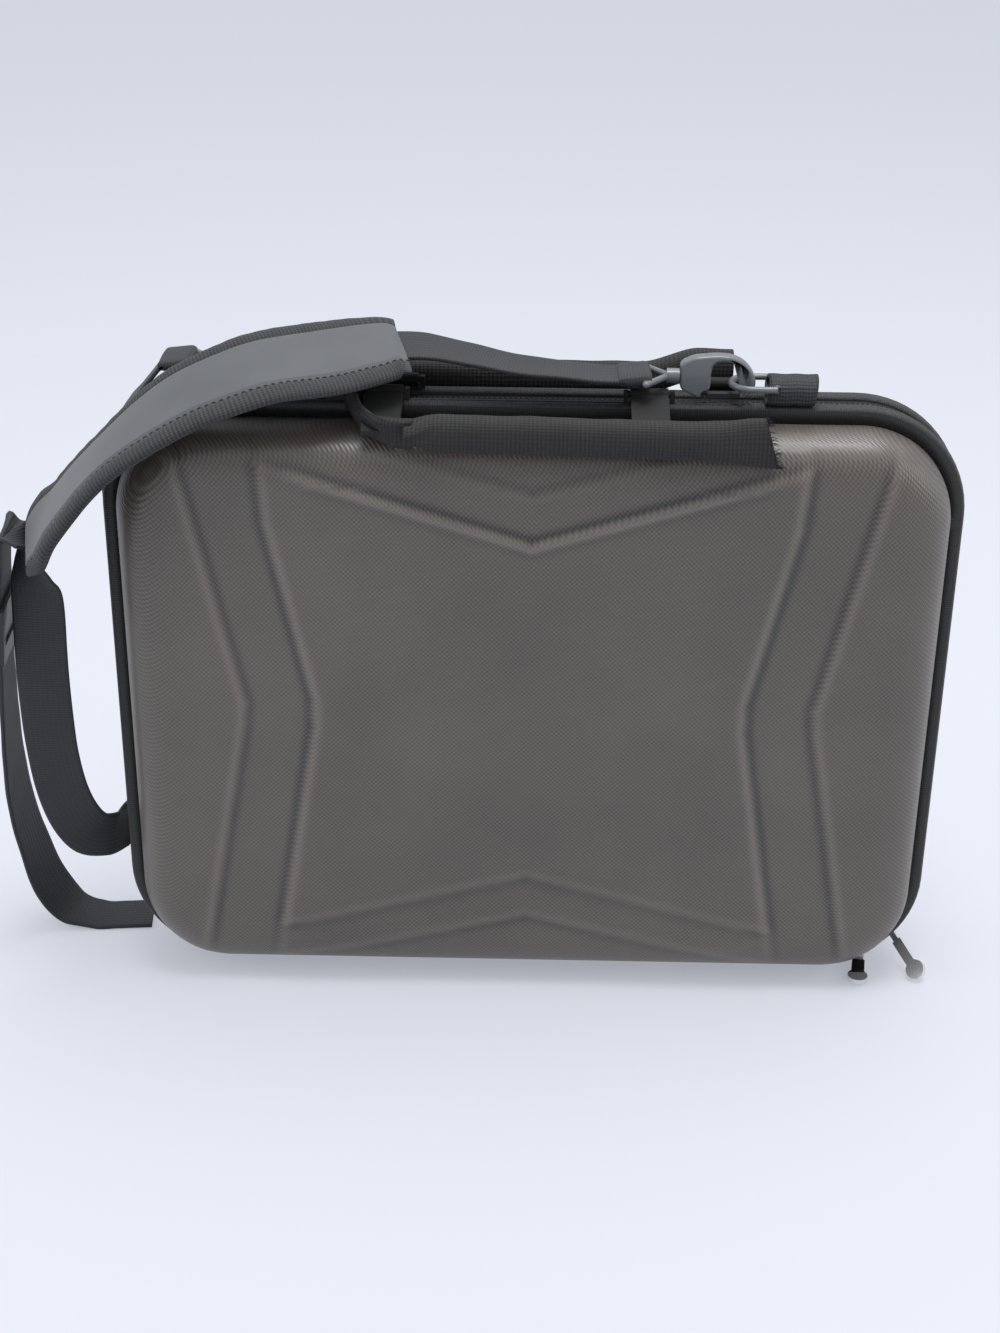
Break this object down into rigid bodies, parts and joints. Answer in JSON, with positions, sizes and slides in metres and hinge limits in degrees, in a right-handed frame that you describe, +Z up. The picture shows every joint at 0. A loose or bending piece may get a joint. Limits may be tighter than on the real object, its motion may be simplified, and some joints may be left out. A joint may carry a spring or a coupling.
{
  "type": "laptop hard case",
  "caption": "Moulded laptop hard case with rounded corners, wrap-around zip, carry handles and a padded shoulder strap clipped to rings.",
  "frame": {"origin": "centre of the flat underside of the hinge strip, which the closed case stands on", "axes": "+X to the right of the embossed front face, +Y from the front half to the rear half, +Z up"},
  "size_m": [0.4654, 0.1068, 0.3293],
  "materials": {
    "shell_cloth": "woven cloth moulded over foam",
    "piping": "woven binding",
    "zip_tape": "zip tape",
    "webbing": "ribbed webbing",
    "lining": "brushed lining",
    "elastic": "elastic tape",
    "handle_cloth": "padded webbing",
    "pad_cloth": "padded slate cloth",
    "hook_plastic": "satin moulded plastic",
    "ring_steel": "nickel plated wire",
    "zip_metal": "polished nickel",
    "pull_grip": "moulded grip on a nickel tab"
  },
  "bodies": {
    "front_half": {"front_shell": "shell_cloth", "front_binding": "piping", "front_zip_tape": "zip_tape", "hinge_strip": "webbing", "front_liner": "lining", "lid_pocket": "lining", "pocket_elastic": "elastic", "tab_right": "webbing", "tab_left": "webbing", "front_handle_anchors": "webbing", "strap_loop_right": "webbing", "strap_top_run": "webbing", "shoulder_pad": "pad_cloth", "strap_lower_run": "webbing", "strap_tail": "webbing", "strap_side_run": "webbing", "strap_loop_left": "webbing", "swivel_eye_right": "hook_plastic", "swivel_eye_left": "hook_plastic"},
    "rear_half": {"rear_shell": "shell_cloth", "rear_binding": "piping", "rear_zip_tape": "zip_tape", "rear_liner": "lining", "laptop_strap": "elastic", "strap_fastener": "elastic", "rear_handle_anchors": "webbing"},
    "front_handle": {"front_handle_grip": "handle_cloth", "front_handle_webbing": "webbing"},
    "rear_handle": {"rear_handle_grip": "handle_cloth", "rear_handle_webbing": "webbing"},
    "adjuster": {"strap_adjuster": "hook_plastic"},
    "ring_right": {"ring_right": "ring_steel"},
    "ring_left": {"ring_left": "ring_steel"},
    "hook_right": {"hook_right": "hook_plastic"},
    "hook_left": {"hook_left": "hook_plastic"},
    "gate_right": {"gate_right": "ring_steel"},
    "gate_left": {"gate_left": "ring_steel"},
    "slider_lower": {"slider_lower": "zip_metal"},
    "slider_upper": {"slider_upper": "zip_metal"},
    "pull_lower": {"pull_lower": "pull_grip"},
    "pull_upper": {"pull_upper": "zip_metal"}
  },
  "joints": [
    {"name": "opening", "type": "hinge", "parent": "front_half", "child": "rear_half", "pos_m": [0, 0.005, 0], "axis": [-1, 0, 0], "range_deg": [0, 75]},
    {"name": "front_handle_lift", "type": "hinge", "parent": "front_half", "child": "front_handle", "pos_m": [0, -0.009, 0.3039], "axis": [-1, 0, 0], "range_deg": [0, 20]},
    {"name": "rear_handle_lift", "type": "hinge", "parent": "rear_half", "child": "rear_handle", "pos_m": [0, 0.009, 0.3039], "axis": [1, 0, 0], "range_deg": [0, 25]},
    {"name": "adjuster_slide", "type": "slide", "parent": "front_half", "child": "adjuster", "axis": [0.1119, -0.1679, 0.9794], "range_m": [0, 0.02]},
    {"name": "ring_right_swing", "type": "hinge", "parent": "front_half", "child": "ring_right", "pos_m": [0.109, -0.005, 0.3085], "axis": [0, 1, 0], "range_deg": [-2, 8]},
    {"name": "ring_left_swing", "type": "hinge", "parent": "front_half", "child": "ring_left", "pos_m": [-0.1, 0.01, 0.3115], "axis": [0, 0, 1], "range_deg": [-4, 4]},
    {"name": "hook_right_swivel", "type": "hinge", "parent": "front_half", "child": "hook_right", "pos_m": [0.0656, -0.0065, 0.312], "axis": [1, 0, 0], "range_deg": [-12, 12]},
    {"name": "hook_left_swivel", "type": "hinge", "parent": "front_half", "child": "hook_left", "pos_m": [-0.1434, 0.008, 0.312], "axis": [1, 0, 0], "range_deg": [-12, 12]},
    {"name": "gate_right_spring", "type": "hinge", "parent": "hook_right", "child": "gate_right", "pos_m": [0.0771, -0.0065, 0.3034], "axis": [0, -1, 0], "range_deg": [0, 9], "stiffness_Nm_per_rad": 0.02},
    {"name": "gate_left_spring", "type": "hinge", "parent": "hook_left", "child": "gate_left", "pos_m": [-0.1319, 0.0166, 0.312], "axis": [0, 0, -1], "range_deg": [0, 9], "stiffness_Nm_per_rad": 0.02},
    {"name": "zip_lower", "type": "hinge", "parent": "front_half", "child": "slider_lower", "pos_m": [0.148, 0, 0.052], "axis": [0, -1, 0], "range_deg": [0, 5]},
    {"name": "zip_upper", "type": "hinge", "parent": "front_half", "child": "slider_upper", "pos_m": [0.148, 0, 0.052], "axis": [0, -1, 0], "range_deg": [0, 42]},
    {"name": "pull_lower_swing", "type": "hinge", "parent": "slider_lower", "child": "pull_lower", "pos_m": [0.17401, -0.0015, 0.00309], "axis": [0, 0, 1], "range_deg": [0, 40]},
    {"name": "pull_upper_swing", "type": "hinge", "parent": "slider_upper", "child": "pull_upper", "pos_m": [0.18917, -0.0015, 0.01493], "axis": [-0.6691, 0, -0.7431], "range_deg": [0, 30]}
  ]
}
